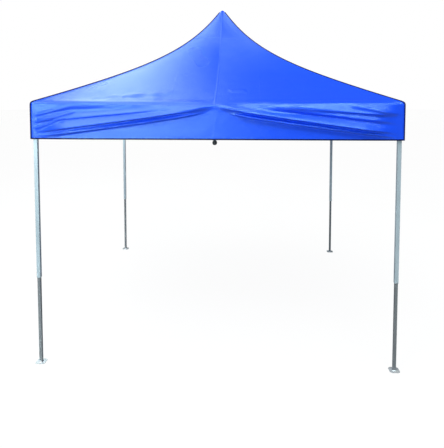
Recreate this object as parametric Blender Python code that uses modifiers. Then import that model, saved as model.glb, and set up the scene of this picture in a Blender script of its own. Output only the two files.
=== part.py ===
"""Pop-up gazebo, 3 m square: four telescopic legs, a folding scissor frame and a fabric canopy.

Metres, +Z up. The origin is on the ground under the middle of the frame, and the front side faces -Y.
Side 0 is the front side, and each next side is turned by a quarter turn about Z: front, right, back, left.
Corner k is the left end of side k as it is seen from outside: front left, front right, back right, back left.
Every bar of the scissors has the same length and the same slope, so the whole frame folds as one.
"""

import math

import bmesh
import bpy
from mathutils import Matrix, Vector

# --- driving dimensions ---
LEG_CENTRE = 1.450  # the legs stand at +-LEG_CENTRE in X and in Y
UPPER_PIVOT_Z = 2.118  # height of every upper scissor pivot
LOWER_PIVOT_Z = 1.878  # height of every lower scissor pivot
CORNER_PIVOT = 0.055  # from a leg's centre to its scissor pivots
MIDDLE_PIVOT = 0.045  # from the middle of a side to its scissor pivots
HUB_PIVOT = 0.055  # from the gazebo's axis to the hubs' pivots

BAR_HEIGHT = 0.024
BAR_THICKNESS = 0.012
BAR_WALL = 0.001
BAR_OVERHANG = 0.008  # how far a bar runs past its end pivots
BAR_PLANE = 0.007  # the two bars of a scissor lie this far either side of its middle plane

OUTER_LEG_WIDTH = 0.030
INNER_LEG_WIDTH = 0.024
LEG_WALL = 0.0012
OUTER_LEG_BOTTOM = 0.722
OUTER_LEG_TOP = 2.150
INNER_LEG_TOP = 1.130
FOOT_WIDTH = 0.080
FOOT_CORNER = 0.014
FOOT_THICKNESS = 0.004
PEG_HOLE_RADIUS = 0.005
PEG_HOLE_AT = 0.024

SLOT_HALF_WIDTH = 0.0065
SLOT_BOTTOM = 0.016  # from a pivot to the bottom of its slot
ARM_HALF_WIDTH = 0.010
ARM_OVERHANG = 0.012  # how far an arm runs past its pivot
BRACKET_HALF_HEIGHT = 0.015
COLLAR_HALF_WIDTH = 0.0185
MIDDLE_HALF_WIDTH = 0.0175
COLLAR_GAP = 0.0004
SLIDER_BOTTOM_Z = 1.866
SLIDER_TOP_Z = 1.926

KNOB_RADIUS = 0.014  # the round knob under each lower middle bracket
KNOB_CENTRE_Z = 1.836
KNOB_STEM_RADIUS = 0.006

BUTTON_WIDTH = 0.008
BUTTON_GAP = 0.0027  # between a released button and the face that it is pressed against
BUTTON_DEPTH = 0.004
LEG_BUTTON_Z = 0.730
SLIDER_BUTTON_Z = 1.902

POLE_RADIUS = 0.0125
POLE_HOLE_RADIUS = 0.0140
POLE_SEAT_GAP = 0.0005  # between the pole and the lower hub that it stands on
POLE_TOP_Z = 3.104
DOME_RADIUS = 0.033
DOME_HEIGHT = 0.050
DOME_RIM = 0.008

CANOPY_HALF_WIDTH = 1.478
CANOPY_PEAK_Z = 3.120
CANOPY_CORNER_Z = 2.165
CANOPY_MIDDLE_Z = 2.140
CANOPY_HEM_Z = 1.862
CANOPY_THICKNESS = 0.002
CANOPY_STRAIGHT_SHARE = 0.55  # the part of the roof's fall that is an even slope
CANOPY_STEEP_RATE = 4.0  # how fast the rest of the fall dies out away from the peak
CANOPY_PEAK_ROUNDING = 0.012
CANOPY_COLUMNS = 12  # cells along one side
CANOPY_RINGS = (0.03, 0.08, 0.16, 0.27, 0.40, 0.55, 0.70, 0.85, 1.0)  # shares of the way to the eave
CANOPY_HEM_ROWS = 2

ROUND_SEGMENTS = 12
KNOB_RINGS = 8
DOME_STEPS = 4
SHARP_ANGLE = math.radians(40)  # edges of round pieces that turn by more than this stay sharp
SIDES = ("front", "right", "back", "left")
CORNERS = ("fl", "fr", "br", "bl")
QUARTER = math.pi / 2

SPAN = LEG_CENTRE - CORNER_PIVOT - MIDDLE_PIVOT
RISE = UPPER_PIVOT_Z - LOWER_PIVOT_Z
BAR_LENGTH = math.hypot(SPAN, RISE)
BAR_ANGLE = math.atan2(RISE, SPAN)
MIDDLE_Z = (UPPER_PIVOT_Z + LOWER_PIVOT_Z) / 2


# --- scene and helpers ---
def empty_scene():
    for old in list(bpy.data.objects):
        bpy.data.objects.remove(old, do_unlink=True)


def new_collection(name):
    found = bpy.data.collections.new(name)
    bpy.context.scene.collection.children.link(found)
    return found


def make_material(name, colour, roughness, metallic):
    material = bpy.data.materials.new(name)
    material.use_nodes = True
    shader = material.node_tree.nodes["Principled BSDF"]
    shader.inputs["Base Color"].default_value = (*colour, 1.0)
    shader.inputs["Roughness"].default_value = roughness
    shader.inputs["Metallic"].default_value = metallic
    return material


def add_object(name, mesh, material, matrix, pivot=(0, 0, 0)):
    """A part at this place, hung from an empty that marks its joint. The pivot is in the part's own frame."""
    part = bpy.data.objects.new(name, mesh)
    PARTS.objects.link(part)
    if not mesh.materials:
        mesh.materials.append(material)
    joint = bpy.data.objects.new(f"joint_of_{name}", None)
    bpy.context.scene.collection.objects.link(joint)
    joint.matrix_world = matrix @ Matrix.Translation(pivot)
    part.parent = joint
    part.matrix_parent_inverse = Matrix.Translation(-Vector(pivot))
    return part


def smoothed(mesh):
    """The mesh with smooth shading over its round faces."""
    mesh.shade_smooth()
    mesh.set_sharp_from_angle(angle=SHARP_ANGLE)
    return mesh


def corner_joint(index, height):
    """Where a corner's brackets turn on the bars of the front or back side, in the corner's own frame."""
    return (CORNER_PIVOT, 0, height) if index % 2 == 0 else (0, CORNER_PIVOT, height)


def quarter_turn(index):
    return Matrix.Rotation(QUARTER * index, 4, "Z")


def prism(name, outlines, bottom, top):
    """A mesh with these closed plan outlines, the first outside and the others holes, from bottom to top."""
    curve = bpy.data.curves.new(name, "CURVE")
    curve.dimensions = "2D"
    curve.fill_mode = "BOTH"
    curve.extrude = (top - bottom) / 2
    for outline in outlines:
        spline = curve.splines.new("POLY")
        spline.points.add(len(outline) - 1)
        for point, (x, y) in zip(spline.points, outline):
            point.co = (x, y, 0.0, 1.0)
        spline.use_cyclic_u = True
    holder = bpy.data.objects.new(name, curve)
    bpy.context.scene.collection.objects.link(holder)
    mesh = evaluated_mesh(holder, name)
    bpy.data.objects.remove(holder, do_unlink=True)
    mesh.transform(Matrix.Translation((0, 0, (top + bottom) / 2)))
    return mesh


def solid_prism(name, outline, bottom, top):
    """A mesh with this one closed plan outline, from bottom to top, with each end a single face."""
    mesh = bpy.data.meshes.new(name)
    work = bmesh.new()
    base = work.faces.new([work.verts.new((x, y, bottom)) for x, y in outline])
    raised = bmesh.ops.extrude_face_region(work, geom=[base])["geom"]
    lifted = [item for item in raised if isinstance(item, bmesh.types.BMVert)]
    bmesh.ops.translate(work, verts=lifted, vec=(0, 0, top - bottom))
    bmesh.ops.recalc_face_normals(work, faces=work.faces)
    work.to_mesh(mesh)
    work.free()
    return mesh


def evaluated_mesh(holder, name):
    """The object's mesh after its modifiers, welded, with its faces pointing out."""
    depsgraph = bpy.context.evaluated_depsgraph_get()
    mesh = bpy.data.meshes.new_from_object(holder.evaluated_get(depsgraph))
    mesh.name = name
    work = bmesh.new()
    work.from_mesh(mesh)
    bmesh.ops.remove_doubles(work, verts=work.verts, dist=0.00001)
    bmesh.ops.recalc_face_normals(work, faces=work.faces)
    work.to_mesh(mesh)
    work.free()
    return mesh


def joined(name, first, second):
    """The Boolean union of two meshes."""
    holders = []
    for mesh in (first, second):
        holder = bpy.data.objects.new(mesh.name, mesh)
        bpy.context.scene.collection.objects.link(holder)
        holders.append(holder)
    union = holders[0].modifiers.new("union", "BOOLEAN")
    union.operation = "UNION"
    union.solver = "EXACT"
    union.object = holders[1]
    mesh = evaluated_mesh(holders[0], name)
    for holder in holders:
        bpy.data.objects.remove(holder, do_unlink=True)
    return mesh


def square(half):
    return [(-half, -half), (half, -half), (half, half), (-half, half)]


def circle(radius, centre=(0.0, 0.0)):
    turns = [2 * math.pi * step / ROUND_SEGMENTS for step in range(ROUND_SEGMENTS)]
    return [(centre[0] + radius * math.cos(a), centre[1] + radius * math.sin(a)) for a in turns]


# --- brackets: a collar or block with slotted arms that hold the bars' ends ---
def arm_points(pivot, half_width, offset):
    """A slotted arm along +X: its outline from one side of the block to the other."""
    end = pivot + ARM_OVERHANG
    bottom = pivot - SLOT_BOTTOM
    return [
        (half_width, offset - ARM_HALF_WIDTH),
        (end, offset - ARM_HALF_WIDTH),
        (end, offset - SLOT_HALF_WIDTH),
        (bottom, offset - SLOT_HALF_WIDTH),
        (bottom, offset + SLOT_HALF_WIDTH),
        (end, offset + SLOT_HALF_WIDTH),
        (end, offset + ARM_HALF_WIDTH),
        (half_width, offset + ARM_HALF_WIDTH),
    ]


def bracket_outline(half_width, pivot, arms):
    """A square block with an arm on each quarter turn in arms, which gives the slot's offset to the left."""
    outline = []
    for turn in range(4):
        corner = [(half_width, half_width)]
        points = arm_points(pivot, half_width, arms[turn]) + corner if turn in arms else corner
        cosine, sine = round(math.cos(QUARTER * turn)), round(math.sin(QUARTER * turn))
        outline += [(cosine * x - sine * y, sine * x + cosine * y) for x, y in points]
    return outline


def collar_hole():
    return square(OUTER_LEG_WIDTH / 2 + COLLAR_GAP)


def build_top_brackets(material):
    """Fixed on top of each leg, with an arm along each of its two sides, for the inner bars."""
    arms = {0: BAR_PLANE, 1: -BAR_PLANE}
    outline = bracket_outline(COLLAR_HALF_WIDTH, CORNER_PIVOT, arms)
    low, high = UPPER_PIVOT_Z - BRACKET_HALF_HEIGHT, UPPER_PIVOT_Z + BRACKET_HALF_HEIGHT
    mesh = prism("top_bracket", [outline, collar_hole()], low, high)
    for index, corner in enumerate(CORNERS):
        place = quarter_turn(index) @ Matrix.Translation((-LEG_CENTRE, -LEG_CENTRE, 0))
        add_object(f"top_bracket_{corner}", mesh, material, place, corner_joint(index, UPPER_PIVOT_Z))


def build_sliders(material):
    """Run up and down the leg, with an arm along each of its two sides, for the outer bars."""
    arms = {0: -BAR_PLANE, 1: BAR_PLANE}
    outline = bracket_outline(COLLAR_HALF_WIDTH, CORNER_PIVOT, arms)
    mesh = prism("slider", [outline, collar_hole()], SLIDER_BOTTOM_Z, SLIDER_TOP_Z)
    for index, corner in enumerate(CORNERS):
        place = quarter_turn(index) @ Matrix.Translation((-LEG_CENTRE, -LEG_CENTRE, 0))
        add_object(f"slider_{corner}", mesh, material, place, corner_joint(index, LOWER_PIVOT_Z))


def build_middle_brackets(material):
    """One pair in the middle of each side: the upper holds the outer bars and the lower the inner bars."""
    upper_arms = {0: -BAR_PLANE, 1: BAR_PLANE, 2: BAR_PLANE}
    lower_arms = {0: BAR_PLANE, 1: -BAR_PLANE, 2: -BAR_PLANE}
    upper = solid_prism(
        "middle_upper",
        bracket_outline(MIDDLE_HALF_WIDTH, MIDDLE_PIVOT, upper_arms),
        UPPER_PIVOT_Z - BRACKET_HALF_HEIGHT,
        UPPER_PIVOT_Z + BRACKET_HALF_HEIGHT,
    )
    block = solid_prism(
        "middle_block",
        bracket_outline(MIDDLE_HALF_WIDTH, MIDDLE_PIVOT, lower_arms),
        LOWER_PIVOT_Z - BRACKET_HALF_HEIGHT,
        LOWER_PIVOT_Z + BRACKET_HALF_HEIGHT,
    )
    lower = smoothed(joined("middle_lower", block, knob_mesh()))
    for index, side in enumerate(SIDES):
        place = quarter_turn(index) @ Matrix.Translation((0, -LEG_CENTRE, 0))
        add_object(f"middle_upper_{side}", upper, material, place, (0, MIDDLE_PIVOT, UPPER_PIVOT_Z))
        add_object(f"middle_lower_{side}", lower, material, place, (0, MIDDLE_PIVOT, LOWER_PIVOT_Z))


def knob_mesh():
    """A ball on a short stem that runs up into the bracket's block."""
    stem_top = LOWER_PIVOT_Z
    ball = bpy.data.meshes.new("ball")
    work = bmesh.new()
    bmesh.ops.create_uvsphere(work, u_segments=ROUND_SEGMENTS, v_segments=KNOB_RINGS, radius=KNOB_RADIUS)
    work.to_mesh(ball)
    work.free()
    ball.transform(Matrix.Translation((0, 0, KNOB_CENTRE_Z)))
    stem = solid_prism("stem", circle(KNOB_STEM_RADIUS), KNOB_CENTRE_Z, stem_top)
    return joined("knob", ball, stem)


def build_hubs(material):
    """The pair on the gazebo's axis. The pole slides through the upper one and rests on the lower one."""
    upper_outline = bracket_outline(COLLAR_HALF_WIDTH, HUB_PIVOT, dict.fromkeys(range(4), BAR_PLANE))
    lower_outline = bracket_outline(COLLAR_HALF_WIDTH, HUB_PIVOT, dict.fromkeys(range(4), -BAR_PLANE))
    upper = prism(
        "hub_upper",
        [upper_outline, circle(POLE_HOLE_RADIUS)],
        UPPER_PIVOT_Z - BRACKET_HALF_HEIGHT,
        UPPER_PIVOT_Z + BRACKET_HALF_HEIGHT,
    )
    lower = solid_prism(
        "hub_lower",
        lower_outline,
        LOWER_PIVOT_Z - BRACKET_HALF_HEIGHT,
        LOWER_PIVOT_Z + BRACKET_HALF_HEIGHT,
    )
    add_object("hub_upper", upper, material, Matrix.Identity(4))
    add_object("hub_lower", lower, material, Matrix.Identity(4), (0, -HUB_PIVOT, LOWER_PIVOT_Z))


# --- scissor bars ---
def bar_mesh():
    """A rectangular tube along +X, centred on its middle pivot."""
    outer = rectangle(BAR_HEIGHT / 2, BAR_THICKNESS / 2)
    inner = rectangle(BAR_HEIGHT / 2 - BAR_WALL, BAR_THICKNESS / 2 - BAR_WALL)
    reach = BAR_LENGTH / 2 + BAR_OVERHANG
    mesh = prism("bar", [outer, inner], -reach, reach)
    mesh.transform(Matrix.Rotation(QUARTER, 4, "Y"))
    return mesh


def rectangle(half_x, half_y):
    return [(-half_x, -half_y), (half_x, -half_y), (half_x, half_y), (-half_x, half_y)]


def build_side_bars(mesh, material):
    """Two scissors on each side. An outer bar falls from the middle to a slider, and an inner bar rises."""
    centre = MIDDLE_PIVOT + SPAN / 2
    for index, side in enumerate(SIDES):
        for end, direction in (("left", -1), ("right", 1)):
            for layer, plane in (("outer", -BAR_PLANE), ("inner", BAR_PLANE)):
                slope = direction * BAR_ANGLE if layer == "outer" else -direction * BAR_ANGLE
                middle = (direction * centre, plane - LEG_CENTRE, MIDDLE_Z)
                place = quarter_turn(index) @ Matrix.Translation(middle) @ Matrix.Rotation(slope, 4, "Y")
                pivot = (-direction * BAR_LENGTH / 2, 0, 0)
                add_object(f"{side}_{layer}_bar_{end}", mesh, material, place, pivot)


def build_centre_bars(mesh, material):
    """One scissor from the middle of each side to the hubs."""
    middle_y = -(HUB_PIVOT + SPAN / 2)
    along_y = Matrix.Rotation(QUARTER, 4, "Z")
    for index, side in enumerate(SIDES):
        for layer, plane, slope in (("rising", BAR_PLANE, -BAR_ANGLE), ("falling", -BAR_PLANE, BAR_ANGLE)):
            middle = Matrix.Translation((plane, middle_y, MIDDLE_Z))
            place = quarter_turn(index) @ middle @ along_y @ Matrix.Rotation(slope, 4, "Y")
            pivot = (BAR_LENGTH / 2, 0, 0) if layer == "rising" else (0, 0, 0)
            add_object(f"centre_{layer}_bar_{side}", mesh, material, place, pivot)


# --- legs ---
def tube_mesh(name, width, bottom, top):
    return prism(name, [square(width / 2), square(width / 2 - LEG_WALL)], bottom, top)


def foot_mesh():
    """The foot plate, with its corners cut off and two peg holes."""
    half, near = FOOT_WIDTH / 2, FOOT_WIDTH / 2 - FOOT_CORNER
    outline = [(near, -half), (half, -near), (half, near), (near, half)]
    outline += [(-x, -y) for x, y in outline]
    holes = [circle(PEG_HOLE_RADIUS, (sign * PEG_HOLE_AT, -sign * PEG_HOLE_AT)) for sign in (-1, 1)]
    return prism("foot", [outline, *holes], 0.0, FOOT_THICKNESS)


def build_legs(material):
    outer = tube_mesh("outer_leg", OUTER_LEG_WIDTH, OUTER_LEG_BOTTOM, OUTER_LEG_TOP)
    tube = tube_mesh("inner_tube", INNER_LEG_WIDTH, FOOT_THICKNESS / 2, INNER_LEG_TOP)
    inner = joined("inner_leg", tube, foot_mesh())
    for index, corner in enumerate(CORNERS):
        place = quarter_turn(index) @ Matrix.Translation((-LEG_CENTRE, -LEG_CENTRE, 0))
        add_object(f"outer_leg_{corner}", outer, material, place, corner_joint(index, UPPER_PIVOT_Z))
        add_object(f"inner_leg_{corner}", inner, material, place)


def button_mesh(name, face, height):
    """A round push button that faces -X, just clear of the face that is this far from the leg's centre."""
    mesh = bpy.data.meshes.new(name)
    work = bmesh.new()
    bmesh.ops.create_cone(
        work,
        cap_ends=True,
        segments=ROUND_SEGMENTS,
        radius1=BUTTON_WIDTH / 2,
        radius2=BUTTON_WIDTH / 3,
        depth=BUTTON_DEPTH,
    )
    work.to_mesh(mesh)
    work.free()
    mesh.transform(Matrix.Rotation(-QUARTER, 4, "Y"))
    mesh.transform(Matrix.Translation((-(face + BUTTON_GAP + BUTTON_DEPTH / 2), 0, height)))
    return smoothed(mesh)


def build_buttons(material):
    """Each leg has a button that frees its inner tube, and each slider has one that frees the frame."""
    leg_button = button_mesh("leg_button", OUTER_LEG_WIDTH / 2, LEG_BUTTON_Z)
    slider_button = button_mesh("slider_button", COLLAR_HALF_WIDTH, SLIDER_BUTTON_Z)
    for index, corner in enumerate(CORNERS):
        place = quarter_turn(index) @ Matrix.Translation((-LEG_CENTRE, -LEG_CENTRE, 0))
        add_object(f"leg_button_{corner}", leg_button, material, place, (0, 0, LEG_BUTTON_Z))
        add_object(f"slider_button_{corner}", slider_button, material, place, (0, 0, SLIDER_BUTTON_Z))


# --- centre pole ---
def build_pole(material):
    """The pole and its pressed-on dome, turned as one profile, from the top down."""
    steps = [QUARTER * step / DOME_STEPS for step in range(DOME_STEPS + 1)]
    dome = [(DOME_RADIUS * math.sin(a), POLE_TOP_Z - DOME_HEIGHT * (1 - math.cos(a))) for a in steps]
    rim = POLE_TOP_Z - DOME_HEIGHT - DOME_RIM
    bottom = LOWER_PIVOT_Z + BRACKET_HALF_HEIGHT + POLE_SEAT_GAP
    profile = dome + [(DOME_RADIUS, rim), (POLE_RADIUS, rim), (POLE_RADIUS, bottom), (0.0, bottom)]
    mesh = bpy.data.meshes.new("centre_pole")
    edges = [(step, step + 1) for step in range(len(profile) - 1)]
    mesh.from_pydata([(x, 0.0, z) for x, z in profile], edges, [])
    pole = add_object("centre_pole", mesh, material, Matrix.Identity(4))
    turn = pole.modifiers.new("turn", "SCREW")
    turn.steps = 2 * ROUND_SEGMENTS
    turn.render_steps = turn.steps
    turn.use_merge_vertices = True
    turn.merge_threshold = 0.0001


# --- canopy ---
def roof_share(distance):
    """How much of the roof's height is left at this share of the way from the peak to the eave."""
    rounding = CANOPY_PEAK_ROUNDING
    soft = (math.hypot(distance, rounding) - rounding) / (math.hypot(1.0, rounding) - rounding)
    faded = math.exp(-CANOPY_STEEP_RATE)
    steep = (math.exp(-CANOPY_STEEP_RATE * soft) - faded) / (1 - faded)
    return CANOPY_STRAIGHT_SHARE * (1 - soft) + (1 - CANOPY_STRAIGHT_SHARE) * steep


def eave_height(across):
    """The eave is lowest in the middle of a side, across 0, and highest at the corners, across -1 and 1."""
    return CANOPY_MIDDLE_Z + (CANOPY_CORNER_Z - CANOPY_MIDDLE_Z) * across * across


def side_points():
    """(place, across) along the eave of a unit square, once round, starting at the front left corner."""
    points = []
    for index in range(len(SIDES)):
        for step in range(CANOPY_COLUMNS):
            across = 2 * step / CANOPY_COLUMNS - 1
            points.append((quarter_turn(index) @ Vector((across, -1.0, 0.0)), across))
    return points


def build_canopy(material):
    """A peaked roof and a straight valance in one open surface, thickened to the inside."""
    mesh = bpy.data.meshes.new("canopy")
    work = bmesh.new()
    eave = side_points()
    peak = work.verts.new((0, 0, CANOPY_PEAK_Z))
    rings = []
    for distance in CANOPY_RINGS:
        ring = []
        for point, across in eave:
            edge = eave_height(across)
            height = edge + (CANOPY_PEAK_Z - edge) * roof_share(distance)
            ring.append(work.verts.new((*(point.xy * CANOPY_HALF_WIDTH * distance), height)))
        rings.append(ring)
    for row in range(1, CANOPY_HEM_ROWS + 1):
        ring = []
        for point, across in eave:
            edge = eave_height(across)
            height = edge + (CANOPY_HEM_Z - edge) * row / CANOPY_HEM_ROWS
            ring.append(work.verts.new((*(point.xy * CANOPY_HALF_WIDTH), height)))
        rings.append(ring)
    count = len(eave)
    for step in range(count):
        work.faces.new((peak, rings[0][step], rings[0][(step + 1) % count]))
        for upper, lower in zip(rings, rings[1:]):
            following = (step + 1) % count
            work.faces.new((upper[step], lower[step], lower[following], upper[following]))
    bmesh.ops.recalc_face_normals(work, faces=work.faces)
    work.to_mesh(mesh)
    work.free()
    canopy = add_object("canopy", mesh, material, Matrix.Identity(4))
    shell = canopy.modifiers.new("thickness", "SOLIDIFY")
    shell.thickness = CANOPY_THICKNESS
    shell.offset = -1.0


def main():
    frame_paint = make_material("frame_paint", (0.62, 0.66, 0.70), 0.35, 0.6)
    bracket_plastic = make_material("bracket_plastic", (0.06, 0.065, 0.07), 0.5, 0.0)
    button_steel = make_material("button_steel", (0.70, 0.70, 0.72), 0.25, 1.0)
    canopy_cloth = make_material("canopy_cloth", (0.02, 0.10, 0.85), 0.45, 0.0)
    bars = bar_mesh()
    build_legs(frame_paint)
    build_top_brackets(bracket_plastic)
    build_sliders(bracket_plastic)
    build_buttons(button_steel)
    build_middle_brackets(bracket_plastic)
    build_hubs(bracket_plastic)
    build_side_bars(bars, frame_paint)
    build_centre_bars(bars, frame_paint)
    build_pole(frame_paint)
    build_canopy(canopy_cloth)


empty_scene()
PARTS = new_collection("pop_up_gazebo")
main()
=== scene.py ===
"""Looks of a pop-up gazebo, 3 m square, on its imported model.

Metres, +Z up, and the front side faces -Y. Side 0 is the front, and each next side is a quarter turn on.
The canopy's cloth has two coordinates on each side: across, -1 to 1 from the left corner to the right one,
and down, 0 at the peak, 1 at the eave and 2 at the hem.
"""

import math

import bmesh
import bpy
import numpy as np
from mathutils import Matrix, Vector, noise


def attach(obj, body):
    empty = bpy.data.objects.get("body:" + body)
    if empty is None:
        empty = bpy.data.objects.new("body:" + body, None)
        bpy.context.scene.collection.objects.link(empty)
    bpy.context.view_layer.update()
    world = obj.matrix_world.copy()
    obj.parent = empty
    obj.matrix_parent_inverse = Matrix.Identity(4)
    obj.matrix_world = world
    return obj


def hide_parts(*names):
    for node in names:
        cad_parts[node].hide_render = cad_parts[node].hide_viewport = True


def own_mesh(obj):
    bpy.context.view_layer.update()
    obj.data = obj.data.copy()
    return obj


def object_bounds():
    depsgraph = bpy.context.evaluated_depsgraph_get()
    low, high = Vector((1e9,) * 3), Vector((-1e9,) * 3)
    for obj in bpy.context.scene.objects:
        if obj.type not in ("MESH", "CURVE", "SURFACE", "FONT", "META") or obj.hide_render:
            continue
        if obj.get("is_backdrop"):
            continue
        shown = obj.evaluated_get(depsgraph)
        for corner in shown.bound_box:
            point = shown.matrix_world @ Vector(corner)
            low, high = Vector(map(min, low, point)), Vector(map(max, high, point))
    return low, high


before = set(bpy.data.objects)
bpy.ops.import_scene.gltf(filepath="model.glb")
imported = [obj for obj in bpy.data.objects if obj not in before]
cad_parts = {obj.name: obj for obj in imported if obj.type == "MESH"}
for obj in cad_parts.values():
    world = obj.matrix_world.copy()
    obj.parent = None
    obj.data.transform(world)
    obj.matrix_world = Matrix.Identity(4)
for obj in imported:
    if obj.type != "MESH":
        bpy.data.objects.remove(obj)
CAD_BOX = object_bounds()

SIDES = ("front", "right", "back", "left")
CORNERS = ("fl", "fr", "br", "bl")
QUARTER = math.pi / 2

# --- the frame's sizes, as in the CAD ---
LEG_CENTRE = 1.450
UPPER_PIVOT_Z = 2.118
LOWER_PIVOT_Z = 1.878
CORNER_PIVOT = 0.055
MIDDLE_PIVOT = 0.045
HUB_PIVOT = 0.055
BAR_PLANE = 0.007
BAR_HEIGHT = 0.024
BAR_THICKNESS = 0.012
BAR_OVERHANG = 0.008
ARM_HALF_WIDTH = 0.010
OUTER_LEG_WIDTH = 0.030
OUTER_LEG_TOP = 2.150
INNER_LEG_WIDTH = 0.024
COLLAR_HALF_WIDTH = 0.0185
FOOT_THICKNESS = 0.004
LEG_BUTTON_Z = 0.730
SLIDER_BUTTON_Z = 1.902
KNOB_Z = 1.844
STRAP_Z = 2.060  # the middle of the strap that ties the canopy to the leg
SPAN = LEG_CENTRE - CORNER_PIVOT - MIDDLE_PIVOT
RISE = UPPER_PIVOT_Z - LOWER_PIVOT_Z
BAR_LENGTH = math.hypot(SPAN, RISE)
BAR_ANGLE = math.atan2(RISE, SPAN)
MIDDLE_Z = (UPPER_PIVOT_Z + LOWER_PIVOT_Z) / 2
FOLD_ANGLE = math.radians(78.0)

# --- the canopy at rest ---
HALF_WIDTH = 1.478
PEAK_Z = 3.120
CORNER_Z = 2.165
MIDDLE_EAVE_Z = 2.140
HEM_Z = 1.868
STRAIGHT_SHARE = 0.55
STEEP_RATE = 4.0
PEAK_ROUNDING = 0.012
# How far the left and right half of each side's roof billow up between the ridge and the middle seam.
PANEL_BILLOWS = ((0.018, -0.003), (0.010, 0.016), (0.014, 0.006), (0.008, 0.018))
SEAM_LIFT = 0.024  # how far the pole's dome pushes the middle seams up
SEAM_LIFT_AT = 0.17  # where it does so, as a share of the way from the peak to the eave
SEAM_LIFT_REACH = 0.10
BILLOW = 0.006  # the slow, uneven billow on top of that
HEM_FLARE = 0.014  # how far the hem stands out in the middle of a side
SLANT = 1.74  # the cloth's length from the peak to the eave
VALANCE = 0.29
COLUMNS = 200  # cells along one side
ROOF_ROWS = 64
VALANCE_ROWS = 84
EAVE_ROUNDING = 0.012  # the eave is the mean of points this far apart, up and down the cloth
EAVE_WEIGHTS = (1 / 16, 4 / 16, 6 / 16, 4 / 16, 1 / 16)
CLOTH_LIFT = 0.0007  # between the cloth and a strip sewn on it
SEAM_WIDTHS = (-0.0085, -0.006, 0.0, 0.006, 0.0085)
CAP_WIDTHS = (-0.0055, -0.005, 0.0, 0.005, 0.0055)
SEAM_HEIGHTS = (0.0, CLOTH_LIFT, 1.05 * CLOTH_LIFT, CLOTH_LIFT, 0.0)
PIPING_RADIUS = 0.005
PIPING_LIFT = 0.001
HEM_BAND = 0.010
HEM_LIFT = 0.0009

# --- the canopy when the frame is folded: a pleated cap with a loose skirt, round the standing legs ---
BUNDLE_RADIUS = 0.262
BUNDLE_RIM_Z = 2.170
BUNDLE_CROWN = 0.150
BUNDLE_SKIRT = 0.62
BUNDLE_RIM_AT = 0.52  # the share of the cloth's way from the peak to the hem that lies on top
BUNDLE_PLEATS = 5
PLEAT_DEPTH = 0.055
SQUASH_KEEP = 0.5

# --- small hardware: profiles are pairs of a radius and a height ---
FOOT_SHINE = (0.012, 0.005)  # the heights between which the leg's paint gives way to the foot's colour
BOLT_HEAD = ((0.0, 0.0030), (0.0022, 0.0028), (0.0042, 0.0020), (0.0054, 0.0006), (0.0055, 0.0), (0.0, 0.0))
BOLT_NUT = ((0.0, 0.0), (0.0046, 0.0), (0.0046, -0.0024), (0.0038, -0.0030), (0.0, -0.0030))
WASHER_RADIUS = 0.0055
WASHER_THICKNESS = 0.0008
KNOB_GRIP = (
    (0.0, -0.0215), (0.008, -0.0205), (0.0145, -0.0165), (0.0180, -0.0095), (0.0190, -0.0020),
    (0.0182, 0.0050), (0.0150, 0.0105), (0.0105, 0.0140), (0.0098, 0.0185), (0.0, 0.0185),
)
TURN_STEPS = 24  # cells round a boss or a knob
SHARP_ANGLE = math.radians(40)  # edges of round pieces that turn by more than this stay sharp

# --- the studio ---
COOL = (0.78, 0.97, 1.0)  # the soft boxes' tint
FLOOR_GLOW = 0.8  # the share of the floor that glows, to camera rays only, so that shadows on it stay faint
FLOOR_RADIUS = 60.0
FLOOR_DROP = 0.0005  # how far the floor lies under the feet
SUN_DIRECTION = (0.30, 0.28, -0.91)
SUN_ANGLE = math.radians(50.0)
CAMERA_PLACE = (0.2251, -5.271, 2.250)
CAMERA_YAW = math.radians(2.50)
CAMERA_PITCH = math.radians(3.63)
CAMERA_LENS = 38.75
CAMERA_SHIFT = -0.2277


# --- node helpers ---
def add_node(tree, kind, inputs=(), **settings):
    """A node with these settings. inputs pairs a socket's name or number with a value or another socket."""
    made = tree.nodes.new(kind)
    for name, value in settings.items():
        setattr(made, name, value)
    for key, value in dict(inputs).items():
        if isinstance(value, bpy.types.NodeSocket):
            tree.links.new(value, made.inputs[key])
        else:
            made.inputs[key].default_value = value
    return made


def maths(tree, operation, first, second=0.0):
    return add_node(tree, "ShaderNodeMath", {0: first, 1: second}, operation=operation).outputs[0]


def ramp(tree, value, low, high, to_low=0.0, to_high=1.0):
    """Value from low to high becomes to_low to to_high, smoothly and no further."""
    sockets = {"Value": value, "From Min": low, "From Max": high, "To Min": to_low, "To Max": to_high}
    return add_node(tree, "ShaderNodeMapRange", sockets, interpolation_type="SMOOTHSTEP").outputs["Result"]


def mixed(tree, share, first, second):
    """A colour between first and second, which are colours or sockets."""
    made = add_node(tree, "ShaderNodeMix", data_type="RGBA")
    for key, kind, value in (("Factor", "VALUE", share), ("A", "RGBA", first), ("B", "RGBA", second)):
        socket = next(s for s in made.inputs if s.name == key and s.type == kind)
        if isinstance(value, bpy.types.NodeSocket):
            tree.links.new(value, socket)
        else:
            socket.default_value = value if kind == "VALUE" else (*value, 1.0)
    return next(s for s in made.outputs if s.type == "RGBA")


def noise_over(tree, place, scale, detail, distortion=0.0):
    sockets = {"Vector": place, "Scale": scale, "Detail": detail, "Distortion": distortion}
    return add_node(tree, "ShaderNodeTexNoise", sockets).outputs[0]


def stretched(tree, place, stretch):
    return add_node(tree, "ShaderNodeMapping", {"Vector": place, "Scale": stretch}).outputs[0]


def object_place(tree):
    return add_node(tree, "ShaderNodeTexCoord").outputs["Object"]


def speckle(tree, scale, detail=3.0, stretch=(1.0, 1.0, 1.0)):
    """Noise over the object's own coordinates, in metres."""
    return noise_over(tree, stretched(tree, object_place(tree), stretch), scale, detail)


def toned(colour, factor):
    """The colour made darker or lighter by this factor."""
    return tuple(factor * part for part in colour)


def bump(tree, height, distance, normal=None):
    sockets = {"Height": height, "Distance": distance}
    if normal is not None:
        sockets["Normal"] = normal
    return add_node(tree, "ShaderNodeBump", sockets).outputs["Normal"]


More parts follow.
